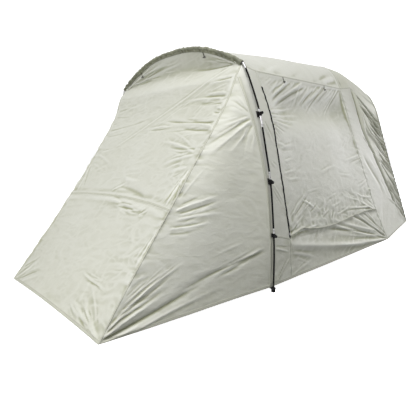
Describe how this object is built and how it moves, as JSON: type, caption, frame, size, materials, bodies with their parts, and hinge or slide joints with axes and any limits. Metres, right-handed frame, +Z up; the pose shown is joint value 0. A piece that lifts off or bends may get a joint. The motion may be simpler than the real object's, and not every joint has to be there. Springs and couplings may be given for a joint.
{
  "type": "car tailgate tent",
  "caption": "Hooped awning tent that sleeves over the raised tailgate of a car, with a sloping front, zipped side doors and an elastic-hemmed car sleeve.",
  "frame": {"origin": "middle of the ground outline's box, on the ground", "axes": "+X toward the car that the sleeve grips, +Y to the left when facing the car, +Z up"},
  "size_m": [4.4742, 2.3612, 2.043],
  "materials": {
    "tent_cloth": "coated nylon, satin",
    "shade_cloth": "coated nylon, satin",
    "pole_black": "fibreglass rod, satin",
    "ferrule_metal": "bright",
    "clip_plastic": "moulded",
    "foot_rubber": "matt",
    "webbing": "woven",
    "zip_black": "coil zip",
    "elastic_cloth": "gathered",
    "toggle_grey": "moulded"
  },
  "bodies": {
    "root": {"arch_toggle_left": "toggle_grey", "arch_toggle_right": "toggle_grey", "clip_left_1": "clip_plastic", "clip_left_2": "clip_plastic", "clip_left_3": "clip_plastic", "clip_right_1": "clip_plastic", "clip_right_2": "clip_plastic", "clip_right_3": "clip_plastic", "door_toggle_left_1": "toggle_grey", "door_toggle_left_2": "toggle_grey", "door_toggle_right_1": "toggle_grey", "door_toggle_right_2": "toggle_grey", "door_zip_left": "zip_black", "door_zip_right": "zip_black", "elastic_hem": "elastic_cloth", "ferrule_middle_left": "ferrule_metal", "ferrule_middle_right": "ferrule_metal", "ferrule_top_left": "ferrule_metal", "ferrule_top_right": "ferrule_metal", "foot_strap_left": "webbing", "foot_strap_right": "webbing", "front_lower_panel": "tent_cloth", "front_upper_panel": "tent_cloth", "hoop_strip_left": "tent_cloth", "hoop_strip_right": "tent_cloth", "pole_arch": "pole_black", "pole_foot_left": "foot_rubber", "pole_foot_right": "foot_rubber", "pole_lower_left": "pole_black", "pole_lower_right": "pole_black", "pole_sleeve": "shade_cloth", "pole_upper_left": "pole_black", "pole_upper_right": "pole_black", "rear_side_left": "tent_cloth", "rear_side_right": "tent_cloth", "roof_panel": "tent_cloth", "side_door_left": "tent_cloth", "side_door_right": "tent_cloth", "side_wing_left": "tent_cloth", "side_wing_right": "tent_cloth", "skirt_left": "tent_cloth", "skirt_right": "tent_cloth", "sleeve_side_left": "shade_cloth", "sleeve_side_right": "shade_cloth", "sleeve_top": "shade_cloth"}
  },
  "joints": []
}
